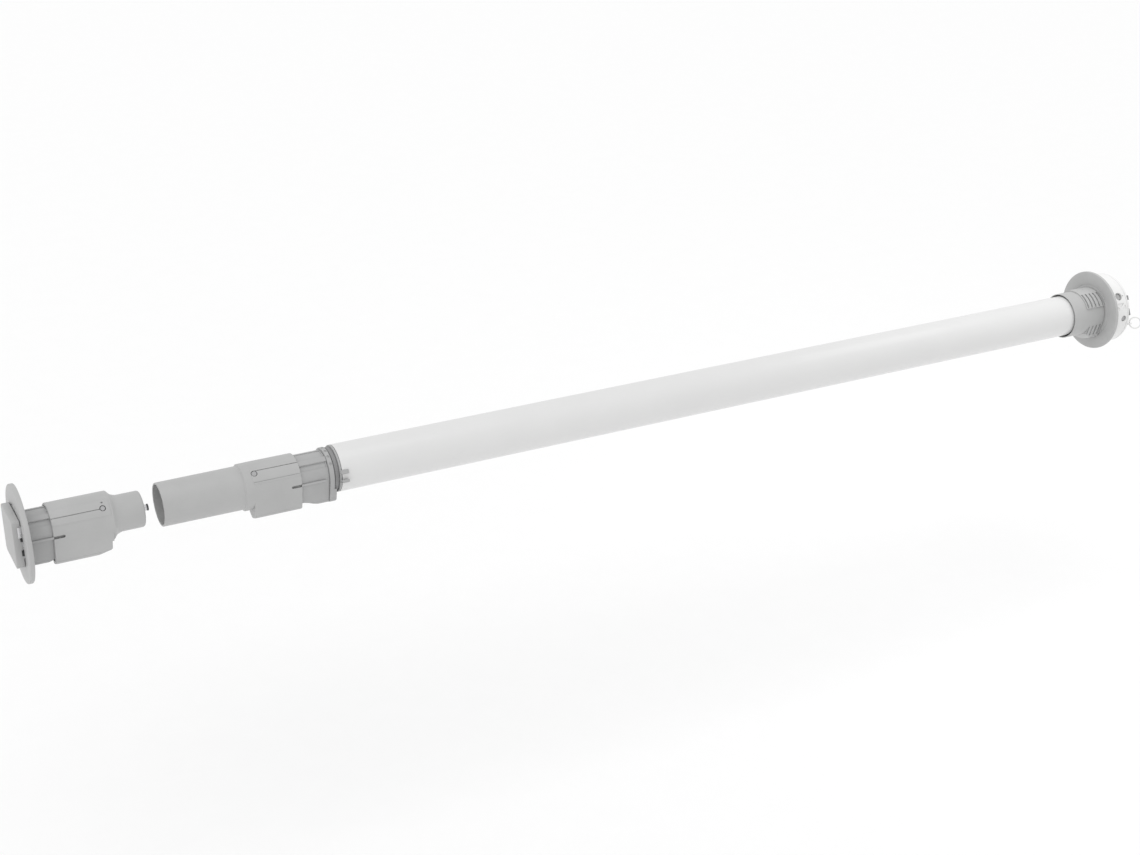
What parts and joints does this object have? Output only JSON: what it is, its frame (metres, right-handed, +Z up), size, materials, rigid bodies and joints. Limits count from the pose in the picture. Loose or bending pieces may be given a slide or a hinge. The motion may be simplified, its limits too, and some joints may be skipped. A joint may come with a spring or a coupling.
{
  "type": "roller blind drive",
  "caption": "Tubular motor drive kit for a roller blind: white motor tube, crown and head, keyed drive sleeve, and a telescopic idler with a bearing plate.",
  "frame": {"origin": "centre of the motor head's end face, which the wall bracket takes", "axes": "+X along the roller axis, out of the motor head; +Z up; the keel is rolled 24 degrees from straight down towards -Y, the front"},
  "size_m": [1.2571, 0.0907, 0.0888],
  "materials": {
    "grey_plastic": "satin moulded",
    "hub_plastic": "satin moulded",
    "white_tube": "smooth powder coat",
    "white_plastic": "semi-gloss moulded",
    "black_plastic": "satin",
    "dark_plastic": "matt",
    "rubber": "matt",
    "steel": "zinc plated",
    "screw_steel": "dull zinc",
    "dark_steel": "blackened",
    "white_wire": "coated spring wire",
    "copper": null,
    "brass": "machined",
    "circuit": "solder mask"
  },
  "bodies": {
    "motor": {"motor_tube": "white_tube", "tube_end_ring": "hub_plastic", "tube_seal": "dark_plastic", "output_bearing_outer": "steel", "ring_gear_housing": "dark_plastic", "stator": "dark_steel", "winding_left": "copper", "winding_right": "copper", "rotor_bearing": "steel", "brake_housing": "dark_plastic", "capacitor": "dark_plastic", "circuit_board": "circuit", "relay": "black_plastic", "motor_lead": "rubber", "motor_head": "white_plastic", "head_cover": "white_plastic", "bracket_latch_upper": "dark_plastic", "bracket_latch_lower": "dark_plastic", "cover_screw_1": "screw_steel", "cover_screw_2": "screw_steel", "cover_screw_3": "screw_steel", "power_inlet": "black_plastic", "limit_switch": "dark_plastic", "ring_eye": "white_plastic"},
    "drive": {"output_shaft": "steel", "drive_hub": "hub_plastic", "drive_flange": "hub_plastic", "shaft_circlip": "dark_steel", "output_bearing_inner": "steel"},
    "planet_1": {"planet_gear_1": "brass"},
    "planet_2": {"planet_gear_2": "brass"},
    "planet_3": {"planet_gear_3": "brass"},
    "rotor": {"rotor_shaft": "steel", "rotor_core": "steel", "brake_disc": "dark_steel"},
    "drive_sleeve": {"drive_sleeve": "grey_plastic", "sleeve_screw": "screw_steel"},
    "idler_body": {"idler_body": "grey_plastic", "idler_screw": "screw_steel", "axial_bolt": "steel", "bolt_nut": "dark_steel", "tension_spring": "steel"},
    "idler_hub": {"idler_hub": "hub_plastic", "idler_disc": "grey_plastic", "damper_ring": "rubber", "bearing_outer_ring": "steel"},
    "idler_plate": {"bearing_plate": "grey_plastic", "plate_screw_1": "steel", "plate_screw_2": "steel", "plate_screw_3": "steel", "plate_screw_4": "steel", "plate_clip": "screw_steel", "idler_pin": "steel", "bearing_inner_ring": "steel"},
    "crown": {"crown_collar": "grey_plastic", "crown_disc": "grey_plastic", "crown_bush": "white_plastic"},
    "setting_button": {"setting_button": "hub_plastic"},
    "limit_screw": {"limit_screw": "screw_steel"},
    "release_ring": {"release_ring": "white_wire"}
  },
  "joints": [
    {"name": "drive_spin", "type": "hinge", "parent": "motor", "child": "drive", "pos_m": [-0.95, 0, 0], "axis": [1, 0, 0], "continuous": true},
    {"name": "planet_spin_1", "type": "hinge", "parent": "drive", "child": "planet_1", "pos_m": [-0.8985, 0.01096, -0.00488], "axis": [1, 0, 0], "continuous": true},
    {"name": "planet_spin_2", "type": "hinge", "parent": "drive", "child": "planet_2", "pos_m": [-0.8985, -0.00125, 0.01193], "axis": [1, 0, 0], "continuous": true},
    {"name": "planet_spin_3", "type": "hinge", "parent": "drive", "child": "planet_3", "pos_m": [-0.8985, -0.00971, -0.00705], "axis": [1, 0, 0], "continuous": true},
    {"name": "rotor_spin", "type": "hinge", "parent": "motor", "child": "rotor", "pos_m": [-0.83, 0, 0], "axis": [1, 0, 0], "continuous": true},
    {"name": "crown_spin", "type": "hinge", "parent": "motor", "child": "crown", "pos_m": [-0.04, 0, 0], "axis": [1, 0, 0], "continuous": true},
    {"name": "sleeve_slide", "type": "slide", "parent": "drive", "child": "drive_sleeve", "axis": [1, 0, 0], "range_m": [0, 0.009]},
    {"name": "idler_unit_slide", "type": "slide", "parent": "drive_sleeve", "child": "idler_body", "axis": [1, 0, 0], "range_m": [0, 0.036]},
    {"name": "idler_hub_slide", "type": "slide", "parent": "idler_body", "child": "idler_hub", "axis": [1, 0, 0], "range_m": [0, 0.009], "stiffness_N_per_m": 900, "springref_m": -0.01, "deforming": ["tension_spring"]},
    {"name": "plate_spin", "type": "hinge", "parent": "idler_hub", "child": "idler_plate", "pos_m": [-1.22, 0, 0], "axis": [1, 0, 0], "continuous": true},
    {"name": "setting_press", "type": "slide", "parent": "motor", "child": "setting_button", "axis": [0, 0.7859, -0.6184], "range_m": [0, 0.0015], "stiffness_N_per_m": 400, "springref_m": -0.001},
    {"name": "limit_turn", "type": "hinge", "parent": "motor", "child": "limit_screw", "pos_m": [-0.0095, -0.035, -0.00043], "axis": [0, -0.9999, -0.0122], "continuous": true},
    {"name": "ring_swing", "type": "hinge", "parent": "motor", "child": "release_ring", "pos_m": [0.0019, -0.03728, -0.00924], "axis": [0, 0.4067, 0.9135], "range_deg": [-45, 100]}
  ],
  "couplings": [
    {"joint": "planet_spin_1", "follows": "drive_spin", "ratio": -3},
    {"joint": "planet_spin_2", "follows": "drive_spin", "ratio": -3},
    {"joint": "planet_spin_3", "follows": "drive_spin", "ratio": -3},
    {"joint": "rotor_spin", "follows": "drive_spin", "ratio": 4},
    {"joint": "crown_spin", "follows": "drive_spin", "ratio": 1}
  ]
}
